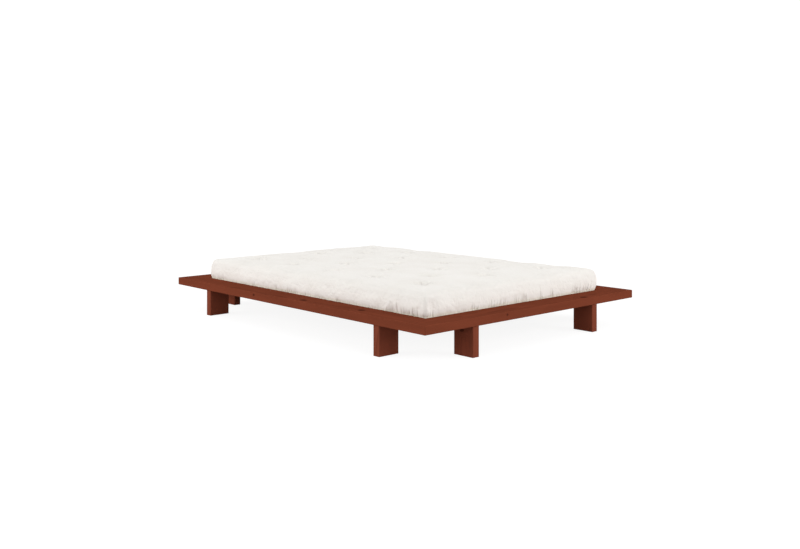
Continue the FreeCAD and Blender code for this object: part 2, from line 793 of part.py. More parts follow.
# Check every object, then write one file for each piece
doc.recompute()
for item in doc.Objects:
    if "Invalid" in item.State or "Error" in item.State:
        raise ValueError(f"{item.Name} failed: {item.State}")
for piece in pieces:
    shape = piece.Shape
    if shape.isNull() or not shape.isValid():
        raise ValueError(f"{piece.Label} has no valid shape")
for old in os.listdir("parts"):
    os.remove(os.path.join("parts", old))
for piece in pieces:
    piece.Shape.exportStep(f"parts/{piece.Label}.step")
    print(f"{piece.Label}: {len(piece.Shape.Solids)} solids, {piece.Shape.Volume / 1000:.1f} cm3")
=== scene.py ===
import math

import bmesh
import bpy
import numpy as np
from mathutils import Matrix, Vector


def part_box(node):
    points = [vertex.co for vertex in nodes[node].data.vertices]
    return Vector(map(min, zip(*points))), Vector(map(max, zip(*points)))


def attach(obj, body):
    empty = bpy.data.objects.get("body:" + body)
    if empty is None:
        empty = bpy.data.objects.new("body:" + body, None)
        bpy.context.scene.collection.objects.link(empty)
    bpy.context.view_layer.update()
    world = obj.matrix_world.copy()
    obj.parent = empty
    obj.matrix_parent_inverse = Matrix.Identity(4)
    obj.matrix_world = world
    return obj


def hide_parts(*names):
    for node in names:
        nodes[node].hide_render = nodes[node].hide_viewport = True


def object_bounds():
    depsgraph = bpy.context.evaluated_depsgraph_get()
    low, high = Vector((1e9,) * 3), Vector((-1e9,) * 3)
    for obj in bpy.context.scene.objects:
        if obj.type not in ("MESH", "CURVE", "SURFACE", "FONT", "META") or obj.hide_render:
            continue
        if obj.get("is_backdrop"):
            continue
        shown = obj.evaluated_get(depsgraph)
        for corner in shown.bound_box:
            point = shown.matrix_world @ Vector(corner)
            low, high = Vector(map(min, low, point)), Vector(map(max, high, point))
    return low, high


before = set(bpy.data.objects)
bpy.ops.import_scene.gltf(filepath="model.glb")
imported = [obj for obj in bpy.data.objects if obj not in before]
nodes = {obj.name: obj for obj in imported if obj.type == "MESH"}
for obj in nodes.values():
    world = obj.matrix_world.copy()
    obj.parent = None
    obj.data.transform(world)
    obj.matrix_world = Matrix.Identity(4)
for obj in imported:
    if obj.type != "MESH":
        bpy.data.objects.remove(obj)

scene = bpy.context.scene
cad_low, cad_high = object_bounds()


# Rim boards
# Four flat pine boards, planed with eased edges, mitred and dowelled into a wide rim.
# They are stained red-brown and left dead matt, so that the grain shows.
def srgb(red, green, blue):
    """A colour in screen levels from 0 to 255, as the shader's linear colour."""
    levels = [level / 255 for level in (red, green, blue)]
    return tuple(c / 12.92 if c <= 0.04045 else ((c + 0.055) / 1.055) ** 2.4 for c in levels) + (1,)


def feed(tree, socket, source):
    """Gives an input another node's output, or a plain value."""
    if isinstance(source, bpy.types.NodeSocket):
        tree.links.new(source, socket)
    else:
        socket.default_value = source


def maths(tree, operation, *sources):
    node = tree.nodes.new("ShaderNodeMath")
    node.operation = operation
    for socket, source in zip(node.inputs, sources):
        feed(tree, socket, source)
    return node.outputs[0]


def vector_maths(tree, operation, *sources):
    node = tree.nodes.new("ShaderNodeVectorMath")
    node.operation = operation
    for socket, source in zip(node.inputs, sources):
        feed(tree, socket, source)
    return node.outputs["Value" if operation == "LENGTH" else "Vector"]


def ramp(tree, source, start, end, low=0, high=1):
    """A smooth change from low to high while the source goes from start to end."""
    node = tree.nodes.new("ShaderNodeMapRange")
    node.interpolation_type = "SMOOTHSTEP"
    for name, value in (("Value", source), ("From Min", start), ("From Max", end),
                        ("To Min", low), ("To Max", high)):
        feed(tree, node.inputs[name], value)
    return node.outputs["Result"]


def speckle(tree, position, stretch, detail=2.0):
    """Noise from 0 to 1 with so many spots per metre along each axis."""
    node = tree.nodes.new("ShaderNodeTexNoise")
    feed(tree, node.inputs["Vector"], vector_maths(tree, "MULTIPLY", position, stretch))
    node.inputs["Scale"].default_value = 1
    node.inputs["Detail"].default_value = detail
    return node.outputs["Fac"]


def tint(tree, amount, first, second):
    """A colour between two others."""
    node = tree.nodes.new("ShaderNodeMix")
    node.data_type = "RGBA"
    feed(tree, node.inputs[0], amount)
    feed(tree, node.inputs[6], first)
    feed(tree, node.inputs[7], second)
    return node.outputs[2]


def new_group(name, inputs, outputs):
    """An empty effect with named inputs and outputs, and its two end nodes."""
    tree = bpy.data.node_groups.new(name, "ShaderNodeTree")
    for label, kind in inputs:
        tree.interface.new_socket(name=label, in_out="INPUT", socket_type="NodeSocket" + kind)
    for label in outputs:
        tree.interface.new_socket(name=label, in_out="OUTPUT", socket_type="NodeSocketFloat")
    return tree, tree.nodes.new("NodeGroupInput").outputs, tree.nodes.new("NodeGroupOutput").inputs


def place_group(tree, group, **sources):
    """An effect placed in a material. Each word is one of its inputs."""
    node = tree.nodes.new("ShaderNodeGroup")
    node.node_tree = group
    for label, source in sources.items():
        feed(tree, node.inputs[label.replace("_", " ").title()], source)
    return node.outputs


# Growth rings about a pith line that runs along X, with fibres and slow changes of tone. The spots
# are counted per metre, along the grain and then both ways across it
wander_spots, fibre_spots, mottle_spots = (0.9, 8, 8), (22, 700, 700), (2.6, 17, 17)
ring_wander = 0.034
latewood_rise, latewood_end = 2.2, 0.93
pine_figure, given, result = new_group(
    "pine_figure", [("Position", "Vector"), ("Ring Width", "Float"), ("Knot Pull", "Float")],
    ["Latewood", "Fibre", "Mottle"])
wander = speckle(pine_figure, given["Position"], wander_spots)
parts = pine_figure.nodes.new("ShaderNodeSeparateXYZ")
feed(pine_figure, parts.inputs[0], given["Position"])
radius = maths(pine_figure, "SQRT", maths(
    pine_figure, "ADD", maths(pine_figure, "POWER", parts.outputs["Y"], 2),
    maths(pine_figure, "POWER", parts.outputs["Z"], 2)))
radius = maths(pine_figure, "MULTIPLY_ADD", wander, ring_wander, radius)
radius = maths(pine_figure, "ADD", radius, given["Knot Pull"])
ring = maths(pine_figure, "FRACT", maths(pine_figure, "DIVIDE", radius, given["Ring Width"]))
darkening = maths(pine_figure, "POWER", ring, latewood_rise)
feed(pine_figure, result["Latewood"],
     maths(pine_figure, "MULTIPLY", darkening, ramp(pine_figure, ring, 1, latewood_end)))
feed(pine_figure, result["Fibre"], speckle(pine_figure, given["Position"], fibre_spots, 3))
feed(pine_figure, result["Mottle"], speckle(pine_figure, given["Position"], mottle_spots))

# A knot: a dark heart, and the pull that it has on the rings round it, both between an outer and an
# inner distance that are shares of the knot's reach
knot_spots, knot_raggedness = (150, 150, 150), 0.5
heart_outer, heart_inner, heart_strength = 1.4, 0.7, 0.75
pull_outer, pull_inner, ring_pull = 3.6, 0.8, 0.011
pine_knot, given, result = new_group(
    "pine_knot", [("Position", "Vector"), ("Centre", "Vector"), ("Reach", "Vector")], ["Heart", "Pull"])
offset = vector_maths(pine_knot, "SUBTRACT", given["Position"], given["Centre"])
distance = vector_maths(pine_knot, "LENGTH", vector_maths(pine_knot, "DIVIDE", offset, given["Reach"]))
ragged = speckle(pine_knot, given["Position"], knot_spots)
distance = maths(pine_knot, "MULTIPLY_ADD", ragged, knot_raggedness, distance)
feed(pine_knot, result["Heart"], ramp(pine_knot, distance, heart_outer, heart_inner, 0, heart_strength))
feed(pine_knot, result["Pull"], ramp(pine_knot, distance, pull_outer, pull_inner, 0, ring_pull))


def new_material(name):
    material = bpy.data.materials.new(name)
    material.use_nodes = True
    return material, material.node_tree, material.node_tree.nodes["Principled BSDF"].inputs


def raise_surface(tree, surface, height, depth):
    """Bump from a height between 0 and 1, with its full depth in metres."""
    bump = tree.nodes.new("ShaderNodeBump")
    bump.inputs["Distance"].default_value = depth
    feed(tree, bump.inputs["Height"], height)
    feed(tree, surface["Normal"], bump.outputs["Normal"])
    return bump


# The axes along the grain and across it, for each way that the grain can run
GRAIN_ORDER = {"x": (0, 1, 2), "y": (1, 0, 2), "z": (2, 0, 1)}
# How much each part of the figure darkens the wood, and how far the grain stands up
tone_start, mottle_share, latewood_share, fibre_share = -0.22, 0.7, 0.5, 0.3
fibre_relief, grain_relief = 0.6, 0.00012
smooth_fibre, rough_fibre = 0.5, 0.62


def pine(name, grain, pith, tones, ring_width=0.0042, knots=()):
    """Pine with its grain along an axis. pith is the tree's middle, seen from the piece, tones are
    early wood, late wood and knots, and each knot is a place and three half sizes."""
    material, tree, surface = new_material(name)
    order = GRAIN_ORDER[grain]
    early, late, heart = (srgb(*tone) for tone in tones)
    place = tree.nodes.new("ShaderNodeTexCoord").outputs["Object"]
    split = tree.nodes.new("ShaderNodeSeparateXYZ")
    feed(tree, split.inputs[0], place)
    along = tree.nodes.new("ShaderNodeCombineXYZ")
    for socket, axis in zip(along.inputs, order):
        feed(tree, socket, split.outputs[axis])
    place = vector_maths(tree, "SUBTRACT", along.outputs[0], pith)
    hearts, pulls = 0.0, 0.0
    for centre, reach in knots:
        knot = place_group(tree, pine_knot, position=place,
                           centre=tuple(centre[axis] - pith[n] for n, axis in enumerate(order)),
                           reach=tuple(reach[axis] for axis in order))
        hearts = maths(tree, "MAXIMUM", knot["Heart"], hearts)
        pulls = maths(tree, "ADD", knot["Pull"], pulls)
    figure = place_group(tree, pine_figure, position=place, ring_width=ring_width, knot_pull=pulls)
    tone = maths(tree, "MULTIPLY_ADD", figure["Mottle"], mottle_share, tone_start)
    tone = maths(tree, "MULTIPLY_ADD", figure["Latewood"], latewood_share, tone)
    tone = maths(tree, "MULTIPLY_ADD", figure["Fibre"], fibre_share, tone)
    colour = tint(tree, tone, early, late)
    feed(tree, surface["Base Color"], tint(tree, hearts, colour, heart))
    grain_height = maths(tree, "MULTIPLY_ADD", figure["Fibre"], fibre_relief, figure["Latewood"])
    feed(tree, surface["Roughness"], ramp(tree, figure["Fibre"], 0.2, 0.8, smooth_fibre, rough_fibre))
    raise_surface(tree, surface, grain_height, grain_relief)
    surface["Specular IOR Level"].default_value = 0
    return material


def finish_node(name, material):
    """Puts a material on a node of the frame."""
    nodes[name].data.materials.clear()
    nodes[name].data.materials.append(material)


red_stain = (130, 66, 46), (97, 49, 34), (58, 26, 17)
# The rim's outer faces and top, and the level on its outer edge where knots show
rim_x, rim_y, rim_top = cad_high.x, cad_high.y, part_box("side_board_left")[1].z
edge_level = 0.185
round_knot, long_knot = (0.02, 0.012, 0.008), (0.02, 0.028, 0.007)
side_knots = [((-rim_x, 0.277, edge_level), round_knot), ((-0.806, -0.151, rim_top), long_knot),
              ((-0.782, -0.611, rim_top), long_knot)]
end_knots = [((-0.265, -rim_y, edge_level), (0.009, 0.02, 0.007)),
             ((0.406, -1.12, rim_top), (0.03, 0.02, 0.007))]
for board, grain, pith, knots in (("side_left", "y", (0.3, -0.82, 0.08), side_knots),
                                  ("side_right", "y", (-0.9, 0.74, 0.09), ()),
                                  ("end_foot", "x", (0.4, -1.09, 0.07), end_knots),
                                  ("end_head", "x", (-1.3, 1.03, 0.1), ())):
    node_name = board.replace("_", "_board_")
    finish_node(node_name, pine("stain_" + board, grain, pith, red_stain, knots=knots))


# Legs
# Eight short boards set on end, narrow edge outwards, of the same pine as the rim, with the rim's stain
# made a little lighter as painted light against the shade under the rim.
# Each is drawn up to the rim by two long bolts from below.
# The rim's stain a little lighter: painted light against the shade under the rim
leg_stain_painted_light = (136, 71, 52), (102, 52, 38), (58, 26, 17)
leg_pith_step, leg_pith_offset, leg_pith_swing = 0.4, 0.05, 0.03
leg_knot_y, leg_knot_level, leg_knot_size = -1.06, 0.128, (0.02, 0.02, 0.012)
for number, (side, end) in enumerate((a, b) for a in ("left", "right") for b in ("foot", "head")):
    for name in (f"leg_{side}_{end}", f"leg_{end}_{side}"):
        low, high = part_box(name)
        middle = (low + high) / 2
        pith = (leg_pith_step * number, middle.x + leg_pith_offset, middle.y - leg_pith_swing * number)
        knots = []
        if name == "leg_foot_left":
            knots = [((low.x, leg_knot_y, leg_knot_level), leg_knot_size)]
        finish_node(name, pine("stain_" + name, "z", pith, leg_stain_painted_light, knots=knots))


# Leg bolts, washers and inserts
# Zinc-plated steel bolts with plain washers in the counterbores, and threaded sleeves in the rim.
# The plating is dull grey with a fine spangle.
spangle_scale, plating_spots = 420, (60, 60, 60)
dull_share, roughness_spread, plating_relief = 0.72, 0.22, 0.00005


def plated_steel(name, colour, roughness):
    material, tree, surface = new_material(name)
    place = tree.nodes.new("ShaderNodeTexCoord").outputs["Object"]
    spangle = tree.nodes.new("ShaderNodeTexVoronoi")
    spangle.inputs["Scale"].default_value = spangle_scale
    feed(tree, spangle.inputs["Vector"], place)
    cloud = maths(tree, "MULTIPLY", speckle(tree, place, plating_spots, 3), 0.5)
    shade = maths(tree, "MULTIPLY_ADD", spangle.outputs["Distance"], 0.5, cloud)
    dull = tuple(level * dull_share for level in srgb(*colour)[:3]) + (1,)
    feed(tree, surface["Base Color"], tint(tree, shade, srgb(*colour), dull))
    feed(tree, surface["Roughness"], ramp(tree, shade, 0, 1, roughness, roughness + roughness_spread))
    raise_surface(tree, surface, shade, plating_relief)
    surface["Metallic"].default_value = 1
    return material


# The plates and hangers get a darker copy of the zinc: painted shade for their place under the bed
zinc = plated_steel("zinc_plate_painted_shade", (150, 152, 150), 0.4)
bright_zinc = plated_steel("bright_zinc", (170, 170, 166), 0.32)
for name in ("leg_bolts", "leg_washers", "leg_inserts"):
    finish_node(name, bright_zinc)


# Corner plates, mitre dowels and screws
# Flat steel angles screwed up under the mitres hold the four corners, with beech dowels inside.
# All the wood screws have countersunk heads.
beech_tones = (214, 174, 132), (186, 140, 98), (120, 80, 50)
finish_node("mitre_dowels", pine("beech_dowel", "x", (0.2, 0.4, 0.1), beech_tones, ring_width=0.0025))
for corner in ("foot_left", "foot_right", "head_left", "head_right"):
    finish_node("corner_plate_" + corner, zinc)
for name in ("corner_plate_screws", "ledger_screws", "hanger_screws", "end_slat_screws"):
    finish_node(name, bright_zinc)


# Ledgers, centre beam and centre legs
# Plain unstained pine: battens along the sides and a beam down the middle that carry the slats.
# The beam sits in two bent steel hangers and stands on two square posts with threaded studs.
bare_pine = (226, 193, 146), (196, 150, 98), (120, 78, 46)
finish_node("slat_ledger_left", pine("ledger_left_pine", "y", (0.2, -0.73, 0.06), bare_pine))
finish_node("slat_ledger_right", pine("ledger_right_pine", "y", (1.2, 0.66, 0.05), bare_pine))
finish_node("centre_beam", pine("beam_pine", "y", (-0.6, 0.05, 0.04), bare_pine))
for end in ("foot", "head"):
    finish_node("beam_hanger_" + end, zinc)
    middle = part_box("centre_leg_" + end)[0]
    finish_node("centre_leg_" + end, pine(f"post_{end}_pine", "z", (0.3, 0.06, middle.y), bare_pine))
finish_node("centre_leg_studs", bright_zinc)


# Slats
# Sixteen thin pine boards with flatted edges, laid across the ledgers and the beam.
# They are left bare, and each has its own figure.
slat_count = 16
slat_names = [f"slat_{number:02d}" for number in range(1, slat_count + 1)]
half_slat = 0.035
pith_step, pith_depth, pith_swing, depth_swing = 1.7, 0.06, 0.05, 0.02
knot_every, knot_spread, knot_inset, slat_knot_size = 3, 0.6, 0.03, (0.014, 0.009, 0.03)
for number, name in enumerate(slat_names):
    low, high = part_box(name)
    swing = math.sin(number * 2.4)
    pith = (pith_step * number, low.y + half_slat + pith_swing * swing,
            low.z - pith_depth - depth_swing * swing)
    knots = []
    if number % knot_every == 0:
        knots = [((knot_spread * math.sin(number * 5.1), low.y + knot_inset, high.z), slat_knot_size)]
    finish_node(name, pine(name + "_pine", "x", pith, bare_pine, knots=knots))


# Slat tapes
# Two woven cotton bands stapled under the slats keep them evenly apart.
# They lie flat against each slat and sag a little between one slat and the next.
def wave(tree, source, length):
    """A sine of the source, with a wave length in metres."""
    return maths(tree, "SINE", maths(tree, "MULTIPLY", source, maths(tree, "DIVIDE", math.tau, length)))


# Threads that cross over and under, thick places in single threads, slow changes of tone, and soft
# creases along the lines where noise crosses its middle
slub_length, slub_across, cloud_spots = 14, 600, (5, 5, 7)
crease_spots, crease_width = ((16, 30, 22), (34, 15, 22)), 0.16
cotton_cloth, given, result = new_group(
    "cotton_cloth", [("Position", "Vector"), ("Thread Width", "Float")],
    ["Weave", "Slub", "Cloud", "Crumple"])
split = cotton_cloth.nodes.new("ShaderNodeSeparateXYZ")
feed(cotton_cloth, split.inputs[0], given["Position"])
pitch = maths(cotton_cloth, "MULTIPLY", given["Thread Width"], 2)
crossing = [wave(cotton_cloth, split.outputs[axis], pitch) for axis in range(3)]
weave = 0.5
for first, second in ((0, 1), (1, 2), (2, 0)):
    both = maths(cotton_cloth, "MULTIPLY", crossing[first], crossing[second])
    weave = maths(cotton_cloth, "MULTIPLY_ADD", both, 0.25, weave)
feed(cotton_cloth, result["Weave"], weave)
slub_x = speckle(cotton_cloth, given["Position"], (slub_length, slub_across, slub_across))
slub_y = speckle(cotton_cloth, given["Position"], (slub_across, slub_length, slub_length))
feed(cotton_cloth, result["Slub"], maths(cotton_cloth, "MAXIMUM", slub_x, slub_y))
feed(cotton_cloth, result["Cloud"], speckle(cotton_cloth, given["Position"], cloud_spots, 3))
folds = 0.0
for stretch in crease_spots:
    swirl = speckle(cotton_cloth, given["Position"], stretch)
    ridge = maths(cotton_cloth, "ABSOLUTE", maths(cotton_cloth, "SUBTRACT", swirl, 0.5))
    folds = maths(cotton_cloth, "ADD", folds, ramp(cotton_cloth, ridge, 0.0, crease_width))
feed(cotton_cloth, result["Crumple"], maths(cotton_cloth, "MULTIPLY", folds, 0.5))


# How much clouds, thick threads and the weave change the cloth's tone, and how thick threads stand up
cloud_start, cloud_share, weave_share = -0.2, 0.8, -0.2
slub_from, slub_full, slub_share, slub_relief = 0.62, 0.8, 0.25, 0.6
# Painted shade on a cover, by height above its lower edge: beige towards the lower edge, and grey along the
# upper edge
base_shade_top, base_shade_full, base_shade_raggedness = 0.040, 0.018, 0.02
base_shade_strength, base_shade_tone = 0.55, (226, 218, 194)
edge_shade_start, edge_shade_full, edge_shade_fade, edge_shade_end = 0.06, 0.1, 0.116, 0.136
edge_shade_strength, edge_shade_grey = 0.45, (226, 222, 217)


def cotton(name, colour, shade, thread_width, relief, crumple=0.0, base=None):
    """Unbleached cotton cloth with a soft, matt surface, threads in relief and soft creases. base is
    the level of a cover's lower edge: painted shade turns the cloth beige there and greys its upper edge."""
    material, tree, surface = new_material(name)
    place = tree.nodes.new("ShaderNodeTexCoord").outputs["Object"]
    cloth = place_group(tree, cotton_cloth, position=place, thread_width=thread_width)
    slub = ramp(tree, cloth["Slub"], slub_from, slub_full)
    depth = maths(tree, "MULTIPLY_ADD", cloth["Cloud"], cloud_share, cloud_start)
    depth = maths(tree, "MULTIPLY_ADD", slub, slub_share, depth)
    depth = maths(tree, "MULTIPLY_ADD", cloth["Weave"], weave_share, depth)
    tone = tint(tree, depth, srgb(*colour), srgb(*shade))
    if base is not None:
        level = tree.nodes.new("ShaderNodeSeparateXYZ")
        feed(tree, level.inputs[0], place)
        height = maths(tree, "SUBTRACT", level.outputs["Z"], base)
        ragged = maths(tree, "MULTIPLY_ADD", cloth["Cloud"], base_shade_raggedness, height)
        # Painted shade: the cloth turns beige towards the lower edge, with a ragged border
        base_shade = ramp(tree, ragged, base_shade_top, base_shade_full, 0, base_shade_strength)
        tone = tint(tree, base_shade, tone, srgb(*base_shade_tone))
        # Painted shade: a grey band along the upper edge, where the cloth rounds over
        edge_shade = maths(tree, "MULTIPLY", ramp(tree, height, edge_shade_start, edge_shade_full),
                       ramp(tree, height, edge_shade_end, edge_shade_fade, 0, edge_shade_strength))
        tone = tint(tree, edge_shade, tone, srgb(*edge_shade_grey))
    feed(tree, surface["Base Color"], tone)
    height = maths(tree, "MULTIPLY_ADD", cloth["Slub"], slub_relief, cloth["Weave"])
    threads = raise_surface(tree, surface, height, relief)
    creases = raise_surface(tree, surface, cloth["Crumple"], crumple)
    tree.links.new(threads.outputs["Normal"], creases.inputs["Normal"])
    surface["Roughness"].default_value = 0.9
    surface["Specular IOR Level"].default_value = 0.15
    surface["Sheen Weight"].default_value = 0.12
    surface["Sheen Roughness"].default_value = 0.6
    return material


def new_piece(name, points, faces, material, body):
    """A smooth-shaded mesh piece that moves with a body of the frame."""
    mesh = bpy.data.meshes.new(name)
    mesh.from_pydata([tuple(point) for point in points], [], faces)
    mesh.shade_smooth()
    mesh.materials.append(material)
    piece = bpy.data.objects.new(name, mesh)
    scene.collection.objects.link(piece)
    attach(piece, body)
    return piece


tape_cloth = cotton("tape_cotton", (205, 196, 176), (170, 158, 134), 0.0016, 0.0004)
tape_thickness, tape_sag, staple_inset = 0.0013, 0.004, 0.012
for side in ("left", "right"):
    low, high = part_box("slat_tape_" + side)
    slat_boxes = [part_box(name) for name in slat_names]
    stations = []
    for number, (slat_low, slat_high) in enumerate(slat_boxes):
        stations += [(slat_low.y + staple_inset, 0), (slat_high.y - staple_inset, 0)]
        if number + 1 < len(slat_boxes):
            gap_middle = (slat_high.y + slat_boxes[number + 1][0].y) / 2
            stations += [(slat_high.y, tape_sag / 4), (gap_middle, tape_sag),
                         (slat_boxes[number + 1][0].y, tape_sag / 4)]
    stations = [(low.y, 0)] + stations + [(high.y, 0)]
    points = []
    for y, sag in stations:
        top, under = high.z - sag, high.z - sag - tape_thickness
        points += [(low.x, y, top), (high.x, y, top), (high.x, y, under), (low.x, y, under)]
    faces = [(0, 1, 2, 3)]
    for number in range(len(stations) - 1):
        ring = 4 * number
        for edge in range(4):
            after = (edge + 1) % 4
            faces.append((ring + edge, ring + 4 + edge, ring + 4 + after, ring + after))
    last = len(points) - 4
    faces.append((last + 3, last + 2, last + 1, last))
    tape = new_piece("slat_band_" + side, points, faces, tape_cloth, "frame")
    tape.data.shade_flat()
    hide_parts("slat_tape_" + side)


# Futon casing
# A cotton cover over foam and thick cotton wadding, sewn shut round the lower edge, where the cloth
# is gathered into fine upright pleats. Tufts draw the top down into shallow dimples.
futon_low, futon_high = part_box("futon_casing")
futon_base, thickness = futon_low.z, futon_high.z - futon_low.z
# The widest outline fills the rim's opening, above the rim
half_width, half_length = 0.7, 0.999
corner_radius = 0.018
# Height above the base and inset from the widest outline, up the side and then over the crown, which
# starts a little low because the cloth swells
swell_room = 0.0025
side_rows = ((0.000, 0.004), (0.004, 0.0035), (0.011, 0.0045), (0.021, 0.0015), (0.036, 0.0),
             (0.052, 0.0008), (0.068, 0.0025), (0.084, 0.0055), (0.096, 0.009))
top_edge = 0.0125
crown = ((0.106, top_edge), (0.1165, 0.021), (0.1245, 0.034), (0.129, 0.052), (0.133, 0.09),
         (thickness - swell_room, 0.2))
border_lines = np.array((0, 0.008, 0.018, 0.03, 0.045, 0.063, 0.084, 0.106))
tuft_columns, tuft_rows = 3, 5
tuft_side_margin, tuft_end_margin = 0.217, 0.245
tuft_pitch_x = (futon_high.x - tuft_side_margin) / (tuft_columns - 1)
tuft_pitch_y = (futon_high.y - tuft_end_margin) / (tuft_rows - 1)
dimple_depth, dimple_reach = 0.022, 0.09
under_recess, under_reach = 0.009, 0.045
tufts = [(column * tuft_pitch_x, row * tuft_pitch_y)
         for column in range(1 - tuft_columns, tuft_columns)
         for row in range(1 - tuft_rows, tuft_rows) if (column + row) % 2 == 0]


def lattice_lines(half, step):
    """Lines across the casing: even in the middle, where tufts sit on them, and close at the edges."""
    inner = np.arange(0, half - border_lines[-1] - step / 2, step)
    lines = np.concatenate([inner, half - border_lines[::-1]])
    return np.concatenate([-lines[:0:-1], lines])


cells_across, cells_along = 8, 6
lines_x = lattice_lines(half_width - top_edge, tuft_pitch_x / cells_across)
lines_y = lattice_lines(half_length - top_edge, tuft_pitch_y / cells_along)
count_x, count_y = len(lines_x), len(lines_y)
grid_x, grid_y = (axis.ravel() for axis in np.meshgrid(lines_x, lines_y, indexing="ij"))


def casing_plan(side_inset):
    """The lattice drawn out to an inset from the widest outline, with its corners rounded."""
    edge_x, edge_y = half_width - side_inset, half_length - side_inset
    x = grid_x * edge_x / (half_width - top_edge)
    y = grid_y * edge_y / (half_length - top_edge)
    far_x = np.clip((np.abs(x) - edge_x + corner_radius) / corner_radius, 0, 1)
    far_y = np.clip((np.abs(y) - edge_y + corner_radius) / corner_radius, 0, 1)
    x = x - np.sign(x) * corner_radius * far_x * (1 - np.sqrt(1 - far_y**2 / 2))
    y = y - np.sign(y) * corner_radius * far_y * (1 - np.sqrt(1 - far_x**2 / 2))
    return x, y


def tuft_pull(x, y, reach):
    """How far each point is drawn in by the tuft nearest to it, from 0 to 1."""
    pull = np.zeros_like(x)
    for tuft_x, tuft_y in tufts:
        near = np.clip(1 - np.hypot(x - tuft_x, y - tuft_y) / reach, 0, 1)
        pull = np.maximum(pull, near**2)
    return pull


# Inset from the nearest side, blended over the corners, with a hair to keep it above nothing
hair, blend = 1e-4, 4
from_side = half_width - top_edge - np.abs(grid_x) + hair
from_end = half_length - top_edge - np.abs(grid_y) + hair
inset = (from_side**-blend + from_end**-blend) ** (-1 / blend) + top_edge
crown_height, crown_inset = zip(*crown)
top_z = futon_base + np.interp(inset, crown_inset, crown_height)
top_z -= dimple_depth * tuft_pull(grid_x, grid_y, dimple_reach)
bottom_z = futon_base + under_recess * tuft_pull(grid_x, grid_y, under_reach)
index = np.arange(count_x * count_y).reshape(count_x, count_y)
border = np.concatenate([index[:, 0], index[-1, 1:], index[-2::-1, -1], index[0, -2:0:-1]])
layers = [np.column_stack([*casing_plan(side_rows[0][1]), bottom_z])]
loops = [border]
made = len(bottom_z)
for height, side_inset in side_rows[1:]:
    x, y = casing_plan(side_inset)
    layers.append(np.column_stack([x[border], y[border], np.full(len(border), futon_base + height)]))
    loops.append(made + np.arange(len(border)))
    made += len(border)
layers.append(np.column_stack([*casing_plan(top_edge), top_z]))
loops.append(made + border)
bottom_faces = np.stack([index[:-1, :-1], index[:-1, 1:], index[1:, 1:], index[1:, :-1]], -1).reshape(-1, 4)
faces = bottom_faces.tolist() + (made + bottom_faces[:, ::-1]).tolist()
for low, high in zip(loops, loops[1:]):
    faces += np.stack([low, np.roll(low, -1), np.roll(high, -1), high], -1).tolist()
casing_cloth = cotton("casing_cotton", (241, 238, 233), (226, 220, 211), 0.0006, 0.00012, crumple=0.002,
                      base=futon_base)
casing = new_piece("futon_cover", np.concatenate(layers), faces, casing_cloth, "futon")


def mesh_points(mesh):
    flat = np.empty(3 * len(mesh.vertices))
    mesh.vertices.foreach_get("co", flat)
    return flat.reshape(-1, 3)


swell_frames = 20


def swell(piece, held_points, most):
    """Blows a piece up as slack cloth over its stuffing. most is how far each point may move."""
    rest = mesh_points(piece.data)
    held = piece.vertex_groups.new(name="held")
    held.add(held_points, 1, "ADD")
    cloth = piece.modifiers.new("cloth", "CLOTH")
    fabric = cloth.settings
    fabric.quality = 4
    fabric.mass = 0.4
    fabric.tension_stiffness = 12
    fabric.compression_stiffness = 12
    fabric.shear_stiffness = 6
    fabric.bending_stiffness = 1.5
    fabric.shrink_min = -0.025
    fabric.use_pressure = True
    fabric.uniform_pressure_force = 4
    fabric.vertex_group_mass = held.name
    fabric.effector_weights.gravity = 0
    cloth.collision_settings.use_collision = False
    for number in range(1, swell_frames + 1):
        scene.frame_set(number)
    blown = piece.evaluated_get(bpy.context.evaluated_depsgraph_get())
    move = mesh_points(blown.data) - rest
    length = np.linalg.norm(move, axis=1)
    move *= np.minimum(1, most / np.maximum(length, most / 1000))[:, None]
    piece.modifiers.remove(cloth)
    piece.vertex_groups.remove(held)
    scene.frame_set(1)
    piece.data.vertices.foreach_set("co", (rest + move).ravel())
    piece.data.update()


tuft_points = []
for tuft_x, tuft_y in tufts:
    tuft_points.append(made + int(np.argmin(np.hypot(grid_x - tuft_x, grid_y - tuft_y))))
held_points = list(range(count_x * count_y)) + loops[1].tolist() + tuft_points
# How far each point may move, with less room round a tie
most_play, tie_grip, grip_reach = 0.003, 0.85, 1.6 * dimple_reach
play = np.full(len(casing.data.vertices), most_play)
play[made:] *= 1 - tie_grip * tuft_pull(grid_x, grid_y, grip_reach)
swell(casing, held_points, play)


def subdivide(piece):
    """Rounds a piece off by one subdivision, applied to its mesh."""
    piece.modifiers.new("round_off", "SUBSURF").levels = 1
    smooth = bpy.data.meshes.new_from_object(piece.evaluated_get(bpy.context.evaluated_depsgraph_get()))
    piece.modifiers.clear()
    piece.data = smooth


subdivide(casing)

# Pleats: a close mesh in the lower side, then a furrow at each place where the cloth is gathered
strip_top, strip_cuts = 0.08, 7
pinch_mesh, pinch_cuts = 0.042, 2
steep = 0.6
work = bmesh.new()
work.from_mesh(casing.data)
work.normal_update()
strip = [face for face in work.faces
         if abs(face.normal.z) < steep and face.calc_center_median().z < futon_base + strip_top]
level_edges = []
for edge in {edge for face in strip for edge in face.edges}:
    rise = edge.verts[1].co - edge.verts[0].co
    if abs(rise.z) < rise.length / 2:
        level_edges.append(edge)
bmesh.ops.subdivide_edges(work, edges=sorted(level_edges, key=lambda edge: edge.index),
                          cuts=strip_cuts, use_grid_fill=True)
# A close mesh round each tuft as well, for the pinch that the tie makes
work.normal_update()
work.edges.index_update()
pinch_edges = set()
for face in work.faces:
    middle = face.calc_center_median()
    from_tuft = min(math.hypot(middle.x - x, middle.y - y) for x, y in tufts)
    if face.normal.z > steep and from_tuft < pinch_mesh:
        pinch_edges.update(face.edges)
bmesh.ops.subdivide_edges(work, edges=sorted(pinch_edges, key=lambda edge: edge.index),
                          cuts=pinch_cuts, use_grid_fill=True)
work.to_mesh(casing.data)
work.free()

chance = np.random.default_rng(11)
side_length, end_length = 2 * half_length, 2 * half_width
perimeter = 2 * (side_length + end_length)
